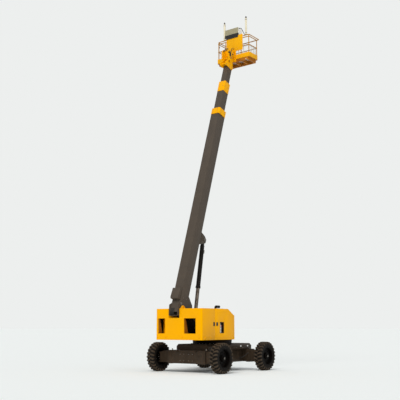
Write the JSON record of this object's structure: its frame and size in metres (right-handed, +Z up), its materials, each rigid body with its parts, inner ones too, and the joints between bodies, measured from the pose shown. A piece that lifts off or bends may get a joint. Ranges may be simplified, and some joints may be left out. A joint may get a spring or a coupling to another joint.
{
  "type": "telescopic boom lift",
  "caption": "Self-propelled boom lift: wheeled chassis with sliding axles, slewing upper structure, telescopic boom and levelled work platform.",
  "frame": {"origin": "centre of the bounding box's footprint, on the ground under the wheels", "axes": "+Z up, +X from the counterweight towards the platform, +Y to the machine's left"},
  "size_m": [5.1238, 3.44, 15.7991],
  "materials": {
    "frame_grey": "satin",
    "boom_grey": "satin",
    "yellow": "gloss",
    "yellow_cover": "satin",
    "tyre": "matte",
    "rim_grey": "satin",
    "steel": "brushed",
    "chrome": "polished",
    "cylinder_black": "satin",
    "engine": "matte",
    "cast_yellow": "gloss",
    "dark_steel": "satin",
    "console_grey": "satin",
    "black_plastic": "matte",
    "mesh_pale": "satin",
    "floor_orange": "satin",
    "post_cream": "satin",
    "rail_yellow": "gloss"
  },
  "bodies": {
    "chassis": {"chassis_frame": "frame_grey", "axle_box_front": "frame_grey", "axle_box_rear": "frame_grey", "slew_ring": "dark_steel"},
    "beam_rear_left": {"axle_beam_rear_left": "frame_grey"},
    "knuckle_rear_left": {"knuckle_rear_left": "dark_steel"},
    "wheel_rear_left": {"tyre_rear_left": "tyre", "rim_rear_left": "rim_grey"},
    "beam_rear_right": {"axle_beam_rear_right": "frame_grey"},
    "knuckle_rear_right": {"knuckle_rear_right": "dark_steel"},
    "wheel_rear_right": {"tyre_rear_right": "tyre", "rim_rear_right": "rim_grey"},
    "beam_front_left": {"axle_beam_front_left": "frame_grey"},
    "knuckle_front_left": {"knuckle_front_left": "dark_steel"},
    "wheel_front_left": {"tyre_front_left": "tyre", "rim_front_left": "rim_grey"},
    "beam_front_right": {"axle_beam_front_right": "frame_grey"},
    "knuckle_front_right": {"knuckle_front_right": "dark_steel"},
    "wheel_front_right": {"tyre_front_right": "tyre", "rim_front_right": "rim_grey"},
    "turntable": {"upper_frame": "dark_steel", "boom_pivot_pin": "steel", "counterweight": "cast_yellow", "engine_block": "engine", "exhaust": "cylinder_black", "ground_controls": "black_plastic"},
    "hood_left": {"hood_left": "yellow_cover"},
    "hood_right": {"hood_right": "yellow_cover"},
    "boom_base": {"boom_base_section": "boom_grey", "base_collar": "yellow", "hose_box": "black_plastic"},
    "boom_mid": {"boom_mid_section": "boom_grey", "mid_collar": "yellow"},
    "boom_fly": {"boom_fly_section": "boom_grey", "boom_head": "yellow"},
    "leveller": {"level_bracket": "yellow"},
    "platform": {"platform_clamp": "yellow", "platform_floor": "floor_orange", "floor_grating": "mesh_pale", "guard_rails": "rail_yellow", "kick_plates": "rail_yellow", "mesh_panels": "mesh_pale", "control_console": "console_grey", "back_panel": "rail_yellow", "guard_posts": "post_cream", "post_caps": "black_plastic"},
    "gate": {"platform_gate": "rail_yellow"},
    "lift_barrel": {"lift_cylinder_barrel": "cylinder_black"},
    "lift_rod": {"lift_cylinder_rod": "chrome"}
  },
  "joints": [
    {"name": "extend_rear_left", "type": "slide", "parent": "chassis", "child": "beam_rear_left", "axis": [0, -1, 0], "range_m": [0, 0.3]},
    {"name": "steer_rear_left", "type": "hinge", "parent": "beam_rear_left", "child": "knuckle_rear_left", "pos_m": [-1.808, 1.44, 0.575], "axis": [0, 0, 1], "range_deg": [-30, 30]},
    {"name": "roll_rear_left", "type": "hinge", "parent": "knuckle_rear_left", "child": "wheel_rear_left", "pos_m": [-1.808, 1.55, 0.575], "axis": [0, 1, 0], "continuous": true},
    {"name": "extend_rear_right", "type": "slide", "parent": "chassis", "child": "beam_rear_right", "axis": [0, 1, 0], "range_m": [0, 0.3]},
    {"name": "steer_rear_right", "type": "hinge", "parent": "beam_rear_right", "child": "knuckle_rear_right", "pos_m": [-1.808, -1.44, 0.575], "axis": [0, 0, 1], "range_deg": [-30, 30]},
    {"name": "roll_rear_right", "type": "hinge", "parent": "knuckle_rear_right", "child": "wheel_rear_right", "pos_m": [-1.808, -1.55, 0.575], "axis": [0, 1, 0], "continuous": true},
    {"name": "extend_front_left", "type": "slide", "parent": "chassis", "child": "beam_front_left", "axis": [0, -1, 0], "range_m": [0, 0.3]},
    {"name": "steer_front_left", "type": "hinge", "parent": "beam_front_left", "child": "knuckle_front_left", "pos_m": [1.242, 1.44, 0.575], "axis": [0, 0, 1], "range_deg": [-30, 30]},
    {"name": "roll_front_left", "type": "hinge", "parent": "knuckle_front_left", "child": "wheel_front_left", "pos_m": [1.242, 1.55, 0.575], "axis": [0, 1, 0], "continuous": true},
    {"name": "extend_front_right", "type": "slide", "parent": "chassis", "child": "beam_front_right", "axis": [0, 1, 0], "range_m": [0, 0.3]},
    {"name": "steer_front_right", "type": "hinge", "parent": "beam_front_right", "child": "knuckle_front_right", "pos_m": [1.242, -1.44, 0.575], "axis": [0, 0, 1], "range_deg": [-30, 30]},
    {"name": "roll_front_right", "type": "hinge", "parent": "knuckle_front_right", "child": "wheel_front_right", "pos_m": [1.242, -1.55, 0.575], "axis": [0, 1, 0], "continuous": true},
    {"name": "slew", "type": "hinge", "parent": "chassis", "child": "turntable", "pos_m": [-0.283, 0, 1.16], "axis": [0, 0, 1], "continuous": true},
    {"name": "hood_left_hinge", "type": "hinge", "parent": "turntable", "child": "hood_left", "pos_m": [-0.973, 0.56, 2.45], "axis": [1, 0, 0], "range_deg": [0, 60]},
    {"name": "hood_right_hinge", "type": "hinge", "parent": "turntable", "child": "hood_right", "pos_m": [-0.973, -0.4, 2.45], "axis": [-1, 0, 0], "range_deg": [0, 60]},
    {"name": "luff", "type": "hinge", "parent": "turntable", "child": "boom_base", "pos_m": [-1.783, 0.2, 2.36], "axis": [0, -1, 0], "range_deg": [-77.35, 2.65]},
    {"name": "telescope_mid", "type": "slide", "parent": "boom_base", "child": "boom_mid", "axis": [0.3032, 0, 0.9529], "range_m": [0, 7.6]},
    {"name": "telescope_fly", "type": "slide", "parent": "boom_mid", "child": "boom_fly", "axis": [0.3032, 0, 0.9529], "range_m": [0, 7.6]},
    {"name": "level", "type": "hinge", "parent": "boom_fly", "child": "leveller", "pos_m": [1.21696, 0.2, 13.76739], "axis": [0, -1, 0], "range_deg": [-2.7, 77.4]},
    {"name": "platform_turn", "type": "hinge", "parent": "leveller", "child": "platform", "pos_m": [1.45196, 0.2, 14.04739], "axis": [0, 0, 1], "range_deg": [-90, 90]},
    {"name": "gate_hinge", "type": "hinge", "parent": "platform", "child": "gate", "pos_m": [2.29296, 1.057, 14.36739], "axis": [0, 0, 1], "range_deg": [0, 90]},
    {"name": "lift_head_pin", "type": "hinge", "parent": "boom_base", "child": "lift_barrel", "pos_m": [-0.64383, 0.2, 5.31364], "axis": [0, -1, 0], "range_deg": [-0.5, 3.2]},
    {"name": "lift_stroke", "type": "slide", "parent": "lift_barrel", "child": "lift_rod", "axis": [-0.1653, 0, -0.9862], "range_m": [-1.14, 0.05]}
  ],
  "couplings": [
    {"joint": "steer_rear_right", "follows": "steer_rear_left", "ratio": 1},
    {"joint": "steer_front_right", "follows": "steer_front_left", "ratio": 1},
    {"joint": "telescope_fly", "follows": "telescope_mid", "ratio": 1},
    {"joint": "level", "follows": "luff", "ratio": -1},
    {"joint": "lift_head_pin", "follows": "luff", "ratio": -0.03729},
    {"joint": "lift_stroke", "follows": "luff", "m_per_rad": 0.8291}
  ]
}
